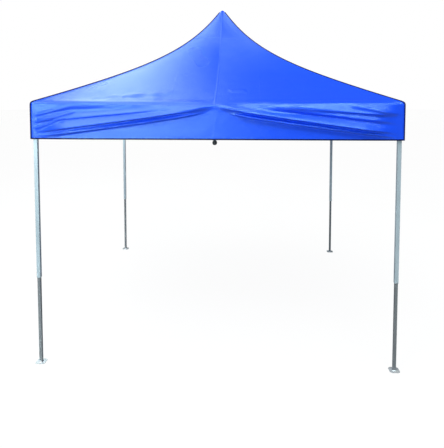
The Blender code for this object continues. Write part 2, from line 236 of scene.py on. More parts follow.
def new_material(name, shown):
    material = bpy.data.materials.new(name)
    material.use_nodes = True
    material.diffuse_color = (*shown, 1.0)
    return material, material.node_tree, material.node_tree.nodes["Principled BSDF"]


# --- metal and plastic ---
def edge_share(tree, radius):
    """1 on the edges and 0 on the flats, from how far the rounded normal leans, with that normal."""
    rounded = add_node(tree, "ShaderNodeBevel", {"Radius": radius}, samples=4).outputs[0]
    flat = add_node(tree, "ShaderNodeNewGeometry").outputs["Normal"]
    alike = add_node(tree, "ShaderNodeVectorMath", {0: rounded, 1: flat}, operation="DOT_PRODUCT")
    return ramp(tree, alike.outputs["Value"], 0.985, 0.86), rounded


def painted_steel(name, colour, worn, rub=0.35, foot=None):
    """Sprayed silver-grey paint with a fine orange peel, rubbed bright on its edges, and long rub marks.

    foot is the colour of the lowest few millimetres, where it is given.
    """
    material, tree, shader = new_material(name, colour)
    edges, rounded = edge_share(tree, 0.0016)
    cloudy = speckle(tree, 9.0)
    scuffs = speckle(tree, 60.0, 5.0, (1.0, 1.0, 0.05))
    base = mixed(tree, ramp(tree, cloudy, 0.3, 0.7, 0.0, 0.35), colour, toned(colour, 0.82))
    rubbed = mixed(tree, ramp(tree, scuffs, 0.60, 0.74, 0.0, rub), base, worn)
    chipped = maths(tree, "MULTIPLY", edges, ramp(tree, speckle(tree, 140.0), 0.35, 0.6))
    final = mixed(tree, chipped, rubbed, worn)
    if foot is not None:
        height = add_node(tree, "ShaderNodeSeparateXYZ", {0: object_place(tree)}).outputs["Z"]
        final = mixed(tree, ramp(tree, height, *FOOT_SHINE), final, foot)
    tree.links.new(final, shader.inputs["Base Color"])
    tree.links.new(ramp(tree, scuffs, 0.3, 0.7, 0.30, 0.46), shader.inputs["Roughness"])
    tree.links.new(bump(tree, speckle(tree, 900.0, 2.0), 0.00004, rounded), shader.inputs["Normal"])
    shader.inputs["Metallic"].default_value = 0.35
    shader.inputs["Coat Weight"].default_value = 0.25
    shader.inputs["Coat Roughness"].default_value = 0.2
    return material


def moulded_plastic(name, colour):
    """Glass-filled nylon with a spark-eroded grain, paler where edges are rubbed."""
    material, tree, shader = new_material(name, colour)
    edges, rounded = edge_share(tree, 0.0012)
    pale = tuple(min(1.0, 2.2 * part + 0.02) for part in colour)
    cloudy = mixed(tree, ramp(tree, speckle(tree, 35.0), 0.35, 0.7, 0.0, 0.5), colour, pale)
    final = mixed(tree, maths(tree, "MULTIPLY", edges, 0.5), cloudy, pale)
    tree.links.new(final, shader.inputs["Base Color"])
    tree.links.new(ramp(tree, speckle(tree, 300.0), 0.3, 0.7, 0.42, 0.6), shader.inputs["Roughness"])
    tree.links.new(bump(tree, speckle(tree, 1500.0, 1.0), 0.00006, rounded), shader.inputs["Normal"])
    return material


def bright_steel(name, colour):
    """Zinc-plated steel with fine turning marks and a few dull spots."""
    material, tree, shader = new_material(name, colour)
    _, rounded = edge_share(tree, 0.0005)
    dull = ramp(tree, speckle(tree, 180.0), 0.45, 0.75)
    tree.links.new(mixed(tree, dull, colour, toned(colour, 0.6)), shader.inputs["Base Color"])
    tree.links.new(ramp(tree, speckle(tree, 700.0, 4.0), 0.3, 0.7, 0.2, 0.42), shader.inputs["Roughness"])
    tree.links.new(bump(tree, speckle(tree, 1200.0, 2.0), 0.00002, rounded), shader.inputs["Normal"])
    shader.inputs["Metallic"].default_value = 1.0
    return material


# --- cloth ---
def cloth_coordinates(tree):
    """The cloth's own coordinates in metres, X along the side and Y down, from the UV map."""
    place = add_node(tree, "ShaderNodeUVMap", uv_map="cloth").outputs[0]
    parts = add_node(tree, "ShaderNodeSeparateXYZ", {0: place})
    return place, parts.outputs["X"], parts.outputs["Y"]


def line_share(tree, value, pitch, half_width):
    """1 on lines that are pitch apart, and 0 away from them."""
    near = maths(tree, "PINGPONG", value, pitch / 2)
    return ramp(tree, near, half_width, 0.0)


def weave(tree, along, down, thread):
    """The height of a plain weave with this thread spacing."""
    turns = math.pi / thread
    warp = maths(tree, "SINE", maths(tree, "MULTIPLY", along, turns))
    weft = maths(tree, "SINE", maths(tree, "MULTIPLY", down, turns))
    return maths(tree, "MULTIPLY", warp, weft)


def coat_cloth(shader):
    """The cool gloss of the waterproof coating."""
    shader.inputs["Specular IOR Level"].default_value = 1.0
    shader.inputs["Specular Tint"].default_value = (0.60, 1.0, 1.0, 1.0)
    shader.inputs["Sheen Weight"].default_value = 0.02
    shader.inputs["Sheen Roughness"].default_value = 0.4


def canopy_cloth(name, colour, deep):
    """Coated polyester: a fine weave, soft packing creases, crumple marks and a slight fade in patches."""
    material, tree, shader = new_material(name, colour)
    place, along, down = cloth_coordinates(tree)
    patches = noise_over(tree, place, 1.3, 1.5)
    threads = weave(tree, along, down, 0.0011)
    faded = ramp(tree, patches, 0.2, 0.8, 0.0, 0.16)
    shade = maths(tree, "ADD", faded, ramp(tree, threads, -1.0, 1.0, 0.0, 0.12))
    tree.links.new(mixed(tree, shade, colour, deep), shader.inputs["Base Color"])
    upright = line_share(tree, along, 0.3695, 0.006)
    level = line_share(tree, down, 0.435, 0.006)
    crumple = noise_over(tree, stretched(tree, place, (1.0, 2.2, 1.0)), 5.0, 2.5, 0.4)
    rough = bump(tree, crumple, 0.0022)
    creased = bump(tree, maths(tree, "ADD", upright, level), 0.0004, rough)
    tree.links.new(bump(tree, threads, 0.00012, creased), shader.inputs["Normal"])
    tree.links.new(ramp(tree, patches, 0.2, 0.8, 0.27, 0.30), shader.inputs["Roughness"])
    coat_cloth(shader)
    return material


def stitch_share(tree, along, across, stitch=0.0036, row_gap=0.008):
    """1 on the threads of two rows of lockstitch, and 0 between them."""
    off_middle = maths(tree, "SUBTRACT", maths(tree, "ABSOLUTE", across), row_gap / 2)
    rows = ramp(tree, maths(tree, "ABSOLUTE", off_middle), 0.0009, 0.0003)
    wave = maths(tree, "SINE", maths(tree, "MULTIPLY", along, 2 * math.pi / stitch))
    dashes = ramp(tree, wave, -0.5, 0.0)
    return maths(tree, "MULTIPLY", rows, dashes)


def sewn_strip(name, colour, thread_colour, coated):
    """A woven tape with two rows of lockstitch along it."""
    material, tree, shader = new_material(name, colour)
    _, along, across = cloth_coordinates(tree)
    stitches = stitch_share(tree, along, across)
    ribs = weave(tree, along, across, 0.0009)
    woven = mixed(tree, ramp(tree, ribs, -1.0, 1.0, 0.0, 0.35), colour, toned(colour, 0.7))
    tree.links.new(mixed(tree, stitches, woven, thread_colour), shader.inputs["Base Color"])
    heights = maths(tree, "ADD", maths(tree, "MULTIPLY", stitches, 3.0), ribs)
    tree.links.new(bump(tree, heights, 0.00015), shader.inputs["Normal"])
    tree.links.new(ramp(tree, ribs, -1.0, 1.0, 0.32, 0.40), shader.inputs["Roughness"])
    if coated:
        coat_cloth(shader)
    else:
        shader.inputs["Specular IOR Level"].default_value = 0.1
    return material


# --- the canopy's shape ---
def smooth_step(value, low, high):
    share = np.clip((value - low) / (high - low), 0.0, 1.0)
    return share * share * (3 - 2 * share)


def roof_share(down):
    """How much of the roof's height is left at this share of the way from the peak to the eave."""
    span = math.hypot(1.0, PEAK_ROUNDING) - PEAK_ROUNDING
    soft = (np.hypot(down, PEAK_ROUNDING) - PEAK_ROUNDING) / span
    faded = math.exp(-STEEP_RATE)
    steep = (np.exp(-STEEP_RATE * soft) - faded) / (1 - faded)
    return STRAIGHT_SHARE * (1 - soft) + (1 - STRAIGHT_SHARE) * steep


def fold_height(x, y, fold):
    """A crease along a line that bends, with a long upper slope and a short, dark lower one."""
    (x0, y0), (x1, y1), bend, height, above, below = fold
    way = (x - x0) / (x1 - x0)
    inside = smooth_step(way, 0.0, 0.13) * (1 - smooth_step(way, 0.80, 1.0))
    clipped = np.clip(way, 0.0, 1.0)
    off = y - (y0 + (y1 - y0) * clipped**bend)
    reach = np.where(off < 0, above, below) * (0.35 + 0.65 * clipped)
    return height * inside * np.exp(-((off / reach) ** 2))


# Each fold: start and end (X along the side, Y down from the eave), bend, height, upper and lower reach.
FRONT_FOLDS = (
    ((0.03, 0.000), (-1.46, 0.235), 0.85, 0.050, 0.060, 0.010),
    ((-0.06, 0.050), (-1.46, 0.275), 0.80, 0.028, 0.045, 0.010),
    ((-0.25, 0.020), (-1.46, 0.150), 1.00, 0.019, 0.040, 0.014),
    ((-1.14, 0.020), (-1.46, 0.110), 0.90, 0.018, 0.022, 0.010),
    ((-1.10, 0.060), (-1.46, 0.165), 0.90, 0.018, 0.024, 0.010),
    ((-1.18, 0.110), (-1.46, 0.215), 0.90, 0.014, 0.020, 0.009),
    ((-0.05, -0.060), (-1.40, 0.030), 1.10, 0.019, 0.070, 0.030),
    ((-0.03, 0.000), (1.46, 0.240), 0.85, 0.050, 0.060, 0.010),
    ((0.10, 0.060), (1.46, 0.272), 0.80, 0.034, 0.040, 0.009),
    ((0.35, 0.006), (1.46, 0.160), 0.95, 0.030, 0.065, 0.016),
    ((1.05, 0.010), (1.46, 0.095), 0.90, 0.019, 0.030, 0.011),
    ((0.10, -0.040), (1.40, 0.020), 1.10, 0.016, 0.060, 0.030),
    ((0.50, 0.015), (1.47, 0.100), 1.00, 0.030, 0.070, 0.014),
    ((-0.80, -0.160), (-0.34, -0.270), 1.00, 0.011, 0.022, 0.012),
    ((-0.92, -0.090), (-0.42, -0.135), 1.00, 0.011, 0.022, 0.012),
    ((-1.02, -0.130), (-0.60, -0.215), 1.00, 0.008, 0.020, 0.012),
    ((0.10, -0.330), (0.26, -0.325), 1.00, 0.008, 0.014, 0.010),
)


def side_folds(side):
    """The front's folds, or a lower, slightly shifted set for another side, mirrored on two of them."""
    if side == 0:
        return FRONT_FOLDS
    chance = np.random.default_rng(31 + side)
    mirror = -1 if side % 2 else 1
    folds = []
    for (x0, y0), (x1, y1), bend, height, above, below in FRONT_FOLDS:
        shift = chance.normal(0.0, 0.012, 2)
        start = (mirror * x0, y0 + shift[0])
        end = (mirror * x1, y1 + shift[1] * 1.5)
        lower = height * chance.uniform(0.45, 0.75)
        folds.append((start, end, bend, lower, above * chance.uniform(0.8, 1.2), below))
    return folds


def swell(side, x, y):
    """A slow, uneven billow of the cloth between its fixed edges."""
    heights = [noise.noise(Vector((0.9 * a, 2.6 * b, 7.3 * side))) for a, b in zip(x.ravel(), y.ravel())]
    return np.array(heights).reshape(x.shape)


def chart_height(down):
    """Metres down the cloth from the eave."""
    return (down - 1) * np.where(down < 1, SLANT, VALANCE)


def cloth_place(side, across, down):
    """The cloth's points at rest and its flat coordinates, with across and down as arrays of one shape."""
    height = chart_height(down)
    sharp = sharp_place(side, across, down)
    rounded = 0
    for step, weight in enumerate(EAVE_WEIGHTS):
        moved = height + (step - len(EAVE_WEIGHTS) // 2) * EAVE_ROUNDING
        moved_down = 1 + moved / np.where(moved < 0, SLANT, VALANCE)
        rounded = rounded + weight * sharp_place(side, across, moved_down)
    near = 1 - smooth_step(np.abs(height), 0.03, 0.09)
    points = sharp + (rounded - sharp) * near[..., None]
    flat = np.stack([HALF_WIDTH * across * np.clip(down, 0.0, 1.0), height], axis=-1)
    return points @ turned(side).T, flat


def panel_height(side, across, roof):
    """How high the roof's two panels billow, and how far the pole lifts the seam between them."""
    half_panel = np.abs(across)
    billow = 4 * half_panel * (1 - half_panel) * np.sin(math.pi * roof**0.75) ** 0.8
    lift = SEAM_LIFT * (1 - half_panel) * np.exp(-(((roof - SEAM_LIFT_AT) / SEAM_LIFT_REACH) ** 2))
    return billow * np.where(across < 0, *PANEL_BILLOWS[side]), lift


def sharp_place(side, across, down):
    """The same points on side 0, before the eave is rounded."""
    roof = np.clip(down, 0.0, 1.0)
    fall = np.clip(down - 1.0, 0.0, 1.0)
    half_panel = np.abs(across)
    eave = MIDDLE_EAVE_Z + (CORNER_Z - MIDDLE_EAVE_Z) * across**2
    x = HALF_WIDTH * across * roof
    z = eave + (PEAK_Z - eave) * roof_share(roof) - (eave - HEM_Z) * fall
    panel, lift = panel_height(side, across, roof)
    chart_y = chart_height(down)
    folds = sum(fold_height(x, chart_y, fold) for fold in side_folds(side))
    edge = (1 - half_panel**14) * smooth_step(roof, 0.02, 0.3)
    billow = BILLOW * swell(side, x, chart_y) * edge * (1 - half_panel**6)
    flare = HEM_FLARE * fall**1.5 * (1 - half_panel**8)
    out = folds * edge + np.where(fall > 0, np.abs(billow), billow) + flare
    upright = smooth_step(down, 0.97, 1.06)
    y = -HALF_WIDTH * roof - out * (0.45 + 0.55 * upright)
    z = z + (0.89 * out + panel + lift) * (1 - upright)
    return np.stack([x, y, z], axis=-1)


def turned(side):
    """The turn from side 0 to this side, as a 3 x 3 array."""
    return np.array(Matrix.Rotation(QUARTER * side, 3, "Z"))


def bundled_place(side, across, down):
    """The same points when the frame is folded."""
    way = np.where(down < 1, 0.72 * down, 0.72 + 0.28 * (down - 1))
    turn = across * math.pi / 4
    squareness = (np.abs(np.sin(turn)) ** 4 + np.abs(np.cos(turn)) ** 4) ** -0.25
    top = np.clip(way / BUNDLE_RIM_AT, 0.0, 1.0) * QUARTER
    hang = np.clip((way - BUNDLE_RIM_AT) / (1 - BUNDLE_RIM_AT), 0.0, 1.0)
    pleat = np.abs(np.sin(BUNDLE_PLEATS * math.pi * (across + 1) / 2))
    uneven = 0.75 + 0.25 * np.sin(2.3 * BUNDLE_PLEATS * across + 1.7 * side)
    radius = BUNDLE_RADIUS * np.sin(top) * squareness - 0.02 * hang
    radius = radius + PLEAT_DEPTH * uneven * pleat * np.sin(top) * (1 + 0.35 * hang)
    z = BUNDLE_RIM_Z + BUNDLE_CROWN * np.cos(top) - BUNDLE_SKIRT * hang * (1 - 0.06 * pleat)
    flat = np.stack([radius * np.sin(turn), -radius * np.cos(turn), z], axis=-1)
    return flat @ turned(side).T


# --- mesh helpers ---
def new_piece(name, mesh, materials, body, slot):
    """A piece on a body, with its materials. The slot argument is not used."""
    piece = bpy.data.objects.new(name, mesh)
    bpy.context.scene.collection.objects.link(piece)
    for material in materials:
        mesh.materials.append(material)
    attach(piece, body)
    return piece


def grid_mesh(name, points, uvs, closed=False):
    """A smooth mesh of quads over points, rows x columns x 3, with a uv for each point.

    closed joins its last column to its first.
    """
    rows, columns = points.shape[:2]
    index = np.arange(rows * columns).reshape(rows, columns)
    if closed:
        index = np.concatenate([index, index[:, :1]], axis=1)
    corners = [index[:-1, :-1], index[1:, :-1], index[1:, 1:], index[:-1, 1:]]
    quads = np.stack(corners, axis=-1).reshape(-1, 4)
    mesh = bpy.data.meshes.new(name)
    mesh.from_pydata(points.reshape(-1, 3).tolist(), [], quads.tolist())
    layer = mesh.uv_layers.new(name="cloth")
    layer.data.foreach_set("uv", uvs.reshape(-1, 2)[quads.ravel()].astype(np.float32).ravel())
    mesh.shade_smooth()
    return mesh


def joined_mesh(name, parts, merge=0.0):
    """One mesh of these (mesh, turn) pairs, welded where points are closer than merge."""
    work = bmesh.new()
    for mesh, matrix in parts:
        copy = mesh.copy()
        copy.transform(matrix)
        work.from_mesh(copy)
        bpy.data.meshes.remove(copy)
    if merge:
        bmesh.ops.remove_doubles(work, verts=work.verts, dist=merge)
    result = bpy.data.meshes.new(name)
    work.to_mesh(result)
    work.free()
    return result


def store_places(mesh, folded):
    """Keeps each point's place at rest and in the bundle on the mesh, for the fold."""
    rest = np.zeros(len(mesh.vertices) * 3, np.float32)
    mesh.vertices.foreach_get("co", rest)
    for name, values in (("rest_place", rest), ("folded_place", folded.astype(np.float32).ravel())):
        mesh.attributes.new(name, "FLOAT_VECTOR", "POINT").data.foreach_set("vector", values)


# --- folding with the frame ---
def fold_group():
    """Geometry nodes that carry a cloth piece from its place at rest to the bundle.

    The piece is narrowed as the joint turns, so its width against its width at rest gives the joint's
    share of its turn.
    Across, the legs' distance from the axis sets the pace. Down, the pole's slide does, which is even.
    """
    group = bpy.data.node_groups.new("fold_with_frame", "GeometryNodeTree")
    group.interface.new_socket("Geometry", in_out="INPUT", socket_type="NodeSocketGeometry")
    group.interface.new_socket("Geometry", in_out="OUTPUT", socket_type="NodeSocketGeometry")
    source = add_node(group, "NodeGroupInput").outputs[0]
    rest = named_vector(group, "rest_place")
    folded = named_vector(group, "folded_place")
    now = widest(group, source, add_node(group, "GeometryNodeInputPosition").outputs[0])
    before = widest(group, source, rest)
    narrowed = maths(group, "SUBTRACT", 1.0, maths(group, "DIVIDE", now, before))
    share = maths(group, "DIVIDE", narrowed, 1 - SQUASH_KEEP)
    angle = maths(group, "ADD", maths(group, "MULTIPLY", share, FOLD_ANGLE), BAR_ANGLE)
    full = math.cos(BAR_ANGLE) - math.cos(BAR_ANGLE + FOLD_ANGLE)
    inward = maths(group, "SUBTRACT", math.cos(BAR_ANGLE), maths(group, "COSINE", angle))
    pace = maths(group, "DIVIDE", inward, full)
    paces = add_node(group, "ShaderNodeCombineXYZ", {0: pace, 1: pace, 2: share}).outputs[0]
    way = add_node(group, "ShaderNodeVectorMath", {0: folded, 1: rest}, operation="SUBTRACT").outputs[0]
    place = add_node(
        group, "ShaderNodeVectorMath", {0: way, 1: paces, 2: rest}, operation="MULTIPLY_ADD"
    ).outputs[0]
    moved = add_node(group, "GeometryNodeSetPosition", {"Geometry": source, "Position": place}).outputs[0]
    add_node(group, "NodeGroupOutput", {0: moved})
    return group


def named_vector(group, name):
    return add_node(
        group, "GeometryNodeInputNamedAttribute", {"Name": name}, data_type="FLOAT_VECTOR"
    ).outputs["Attribute"]


def widest(group, geometry, vector):
    """The largest distance from the middle along X."""
    x = add_node(group, "ShaderNodeSeparateXYZ", {0: vector}).outputs["X"]
    size = maths(group, "ABSOLUTE", x)
    found = add_node(group, "GeometryNodeAttributeStatistic", {"Geometry": geometry})
    group.links.new(size, next(s for s in found.inputs if s.name == "Attribute" and s.enabled))
    return next(s for s in found.outputs if s.name == "Max" and s.enabled)


def fold_with_frame(piece, group):
    modifier = piece.modifiers.new("fold", "NODES")
    modifier.node_group = group
    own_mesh(piece)


def side_grid(side, across, down):
    """Places at rest, places in the bundle and cloth coordinates over this grid of one side."""
    spread_down, spread_across = np.meshgrid(down, across, indexing="ij")
    rest, chart = cloth_place(side, spread_across, spread_down)
    return rest, bundled_place(side, spread_across, spread_down), chart


def canopy_rows():
    """Rows from close under the peak to the hem, closer together near the peak and at the eave."""
    near = np.linspace(0.0, 1.0, ROOF_ROWS + 1)[1:]
    roof = near**1.25
    valance = 1 + np.linspace(0.0, 1.0, VALANCE_ROWS + 1)[1:]
    return np.concatenate([roof, valance])


def build_canopy(group, material):
    """Roof and valance as one continuous sheet, with its sides welded along the ridges."""
    down = canopy_rows()
    across = np.linspace(-1.0, 1.0, COLUMNS + 1)
    parts = []
    folded = []
    for side in range(len(SIDES)):
        rest, bundle, chart = side_grid(side, across, down)
        peak = np.full((1, COLUMNS + 1, 3), (0.0, 0.0, PEAK_Z))
        top = np.full((1, COLUMNS + 1, 3), (0.0, 0.0, BUNDLE_RIM_Z + BUNDLE_CROWN))
        above = np.stack([0 * across, 0 * across - SLANT], axis=-1)[None]
        rest = np.concatenate([peak, rest])
        chart = np.concatenate([above, chart])
        parts.append((grid_mesh(f"panel_{side}", rest, chart), Matrix.Identity(4)))
        folded.append(np.concatenate([top, bundle]).reshape(-1, 3))
    for (mesh, _), places in zip(parts, folded):
        store_places(mesh, places)
    mesh = joined_mesh("canopy_cloth", parts, merge=0.0002)
    canopy = new_piece("canopy_cloth", mesh, [material], "hub_upper", "canopy_cloth")
    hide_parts("canopy")
    fold_with_frame(canopy, group)
    return canopy


# --- strips sewn on the canopy ---
def strip(name, line, folded_line, sideways, outward, widths, heights):
    """A strip that follows line. Its section runs over widths to the side and heights outward."""
    travelled = np.cumsum(np.concatenate([[0.0], np.linalg.norm(np.diff(line, axis=0), axis=1)]))
    offsets = sideways[:, None] * np.array(widths)[None, :, None]
    offsets = offsets + outward[:, None] * np.array(heights)[None, :, None]
    points = line[:, None] + offsets
    girth = np.broadcast_to(np.array(widths)[None], points.shape[:2])
    uvs = np.stack([np.broadcast_to(travelled[:, None], points.shape[:2]), girth], axis=-1)
    mesh = grid_mesh(name, points, uvs)
    store_places(mesh, (folded_line[:, None] + offsets).reshape(-1, 3))
    return mesh


def unit(vectors):
    return vectors / np.linalg.norm(vectors, axis=-1, keepdims=True)


def cloth_frame(side, across, down, step=0.004):
    """Rest places along a path on the cloth, bundle places, and unit vectors sideways and outward there."""
    rest = cloth_place(side, across, down)[0]
    along = unit(np.gradient(rest, axis=0))
    inner = cloth_place(side, across * (1 - step) - step * np.where(across == 0, 1.0, 0.0), down)[0]
    outward = unit(np.cross(inner - rest, along))
    radial = rest * np.array([1.0, 1.0, 0.0]) + np.array([0.0, 0.0, 0.6])
    outward = outward * np.sign(np.sum(outward * radial, axis=-1, keepdims=True))
    sideways = unit(np.cross(along, outward))
    return rest, bundled_place(side, across, down), sideways, outward


def finish_strip(name, parts, group, material):
    mesh = joined_mesh(name, [(part, Matrix.Identity(4)) for part in parts])
    mesh.shade_smooth()
    piece = new_piece(name, mesh, [material], "hub_upper", "canopy_cloth")
    fold_with_frame(piece, group)
    return piece


def build_middle_seams(group, material):
    """A flat felled seam down the middle of each side, from the peak to the eave."""
    parts = []
    for side in range(len(SIDES)):
        down = np.concatenate([np.linspace(0.02, 0.96, 70), np.linspace(0.965, 1.0, 8)])
        rest, folded, sideways, outward = cloth_frame(side, np.zeros_like(down), down)
        parts.append(strip(f"seam_{side}", rest, folded, sideways, outward, SEAM_WIDTHS, SEAM_HEIGHTS))
    return finish_strip("middle_seams", parts, group, material)


def build_ridge_piping(group, material):
    """A dark corded piping in each corner seam, from the peak along the ridge and down to the hem."""
    turns = np.linspace(0.0, 2 * math.pi, 9)
    parts = []
    for side in range(len(SIDES)):
        roof = np.linspace(0.02, 0.985, 80)
        eave = np.linspace(0.99, 1.02, 6)
        valance = np.linspace(1.04, 2.0, 26)
        down = np.concatenate([roof, eave, valance])
        rest, folded, _, _ = cloth_frame(side, -np.ones_like(down), down)
        diagonal = np.array([-1.0, -1.0, 0.0]) @ turned(side).T / math.sqrt(2)
        along = unit(np.gradient(rest, axis=0))
        sideways = unit(np.cross(along, np.broadcast_to(diagonal + [0, 0, 0.7], along.shape)))
        outward = unit(np.cross(sideways, along))
        widths = PIPING_RADIUS * np.sin(turns)
        heights = PIPING_RADIUS * np.cos(turns) + PIPING_LIFT
        parts.append(strip(f"piping_{side}", rest, folded, sideways, outward, widths, heights))
    return finish_strip("ridge_piping", parts, group, material)


def build_cap_seam(group, material):
    """The sewn edge of the second layer that strengthens the peak."""
    across = np.linspace(-1.0, 1.0, 61)
    parts = []
    for side in range(len(SIDES)):
        down = np.full_like(across, 0.2)
        rest = cloth_place(side, across, down)[0]
        lower = cloth_place(side, across, down + 0.004)[0]
        folded = bundled_place(side, across, down)
        sideways = unit(lower - rest)
        outward = unit(np.cross(sideways, unit(np.gradient(rest, axis=0))))
        outward = outward * np.sign(outward[:, 2:])
        parts.append(strip(f"cap_{side}", rest, folded, sideways, outward, CAP_WIDTHS, SEAM_HEIGHTS))
    return finish_strip("cap_seam", parts, group, material)


def build_hem(group, material):
    """The hem: a tape folded round the cloth's lower edge."""
    across = np.linspace(-1.0, 1.0, COLUMNS + 1)
    down = np.full_like(across, 2.0)
    widths = (-HEM_BAND, -HEM_BAND / 2, 0.0, 0.0012, 0.0, -HEM_BAND)
    heights = (HEM_LIFT, HEM_LIFT * 1.4, HEM_LIFT, 0.0, -HEM_LIFT, -HEM_LIFT)
    parts = []
    for side in range(len(SIDES)):
        rest = cloth_place(side, across, down)[0]
        folded = bundled_place(side, across, down)
        outward = np.broadcast_to(np.array([0.0, -1.0, 0.0]) @ turned(side).T, rest.shape)
        downward = np.broadcast_to(np.array([0.0, 0.0, -1.0]), rest.shape)
        parts.append(strip(f"hem_{side}", rest, folded, downward, outward, widths, heights))
    return finish_strip("hem_tape", parts, group, material)


# --- hardware ---
def side_turn(index):
    """A quarter turn about Z for each side or corner after the first."""
    return Matrix.Rotation(QUARTER * index, 4, "Z")


def smooth_mesh(work, name):
    """The mesh of a bmesh, which is freed: smooth, with its sharper edges kept."""
    mesh = bpy.data.meshes.new(name)
    work.to_mesh(mesh)
    work.free()
    mesh.shade_smooth()
    mesh.set_sharp_from_angle(angle=SHARP_ANGLE)
    return mesh


def turned_profile(profile, segments=16):
    """A mesh turned about Z from (radius, height) pairs that start and end on the axis."""
    work = bmesh.new()
    rings = []
    for radius, height in profile:
        count = 1 if radius == 0 else segments
        turns = [2 * math.pi * step / segments for step in range(count)]
        rings.append([work.verts.new((radius * math.cos(a), radius * math.sin(a), height)) for a in turns])
    for upper, lower in zip(rings, rings[1:]):
        for step in range(segments):
            following = (step + 1) % segments
            corners = [upper[step % len(upper)], upper[following % len(upper)]]
            corners += [lower[following % len(lower)], lower[step % len(lower)]]
            work.faces.new(dict.fromkeys(corners))
    bmesh.ops.recalc_face_normals(work, faces=work.faces)
    return smooth_mesh(work, "turned")


def block_mesh(size, bevel):
    """A box of this size about the origin, with rounded edges."""
    work = bmesh.new()
    bmesh.ops.create_cube(work, size=1.0)
    bmesh.ops.scale(work, vec=size, verts=work.verts)
    bmesh.ops.bevel(work, geom=work.edges, offset=bevel, segments=2, profile=0.5, affect="EDGES")
    return smooth_mesh(work, "block")


def bolt_parts(reach):
    """A domed head on +Z, and a washer and a hex lock nut on -Z, round a stack from -reach to reach."""
    head = turned_profile([(radius, reach + height) for radius, height in BOLT_HEAD])
    low = -reach - WASHER_THICKNESS
    washer = turned_profile([(0.0, -reach), (WASHER_RADIUS, -reach), (WASHER_RADIUS, low), (0.0, low)])
    nut = turned_profile([(radius, low + height) for radius, height in BOLT_NUT], segments=6)
    return [head, washer, nut]


def side_bar_places(index, side):
    """The places of one side's four bars, as bar_places gives them."""
    middle = MIDDLE_PIVOT + SPAN / 2
    for end, direction in (("left", -1), ("right", 1)):
        for layer, plane in (("outer", -BAR_PLANE), ("inner", BAR_PLANE)):
            slope = direction * BAR_ANGLE if layer == "outer" else -direction * BAR_ANGLE
            spot = Matrix.Translation((direction * middle, plane - LEG_CENTRE, MIDDLE_Z))
            place = side_turn(index) @ spot @ Matrix.Rotation(slope, 4, "Y")
            yield f"{side}_{layer}_bar_{end}", place, layer == "outer"


def bar_places():
    """(name, place, has the crossing's bolt) of every bar. place moves a bar along X to the CAD's bar."""
    for index, side in enumerate(SIDES):
        yield from side_bar_places(index, side)
        for layer, plane, slope in (("rising", BAR_PLANE, -BAR_ANGLE), ("falling", -BAR_PLANE, BAR_ANGLE)):
            middle = Matrix.Translation((plane, -(HUB_PIVOT + SPAN / 2), MIDDLE_Z))
            spot = middle @ Matrix.Rotation(QUARTER, 4, "Z")
            place = side_turn(index) @ spot @ Matrix.Rotation(slope, 4, "Y")
            yield f"centre_{layer}_bar_{side}", place, layer == "falling"


def build_bar_fittings(steel, plastic):
    """On every bar two pivot bolts and two end plugs, and on one bar of each pair the crossing's bolt."""
    across = Matrix.Rotation(QUARTER, 4, "X")
    end_bolt = joined_mesh("end_bolt", [(part, across) for part in bolt_parts(ARM_HALF_WIDTH)])
    stack = BAR_PLANE + BAR_THICKNESS / 2
    crossing = joined_mesh("crossing", [(part, across) for part in bolt_parts(stack)])
    plug = block_mesh((0.0016, BAR_THICKNESS - 0.0002, BAR_HEIGHT - 0.0002), 0.0006)
    tongue = block_mesh((0.010, BAR_THICKNESS - 0.0024, BAR_HEIGHT - 0.0024), 0.0006)
    half = BAR_LENGTH / 2
    for name, place, carries_crossing in bar_places():
        bolts = [(end_bolt, place @ Matrix.Translation((end * half, 0, 0))) for end in (-1, 1)]
        if carries_crossing:
            bolts.append((crossing, place @ Matrix.Translation((0, BAR_PLANE, 0))))
        plugs = []
        for end in (-1, 1):
            tip = half + BAR_OVERHANG
            plugs.append((plug, place @ Matrix.Translation((end * (tip + 0.0008), 0, 0))))
            plugs.append((tongue, place @ Matrix.Translation((end * (tip - 0.005), 0, 0))))
        new_piece(f"bolts_{name}", joined_mesh("bolts", bolts), [steel], name, "button_steel")
        new_piece(f"plugs_{name}", joined_mesh("plugs", plugs), [plastic], name, "bracket_plastic")


def build_knob_grips(plastic):
    """The turned grip on the ball under each lower middle bracket."""
    grip = turned_profile(KNOB_GRIP, segments=TURN_STEPS)
    for index, side in enumerate(SIDES):
        spot = side_turn(index) @ Matrix.Translation((0, -LEG_CENTRE, KNOB_Z))
        placed = joined_mesh("grip", [(grip, spot)])
        new_piece(f"knob_grip_{side}", placed, [plastic], f"middle_lower_{side}", "bracket_plastic")


def ring_mesh(outer, inner, thickness):
    """A round boss about X, from x = 0 to -thickness, with a hole."""
    rim = 0.0006
    profile = [(inner, 0.0), (outer, 0.0), (outer, thickness - rim)]
    profile += [(outer - rim, thickness), (inner, thickness)]
    work = bmesh.new()
    rings = []
    for step in range(TURN_STEPS):
        a = 2 * math.pi * step / TURN_STEPS
        rings.append([work.verts.new((-depth, r * math.cos(a), r * math.sin(a))) for r, depth in profile])
    for now, following in zip(rings, rings[1:] + rings[:1]):
        for point in range(len(profile)):
            after = (point + 1) % len(profile)
            work.faces.new((now[point], now[after], following[after], following[point]))
    bmesh.ops.recalc_face_normals(work, faces=work.faces)
    return smooth_mesh(work, "ring")


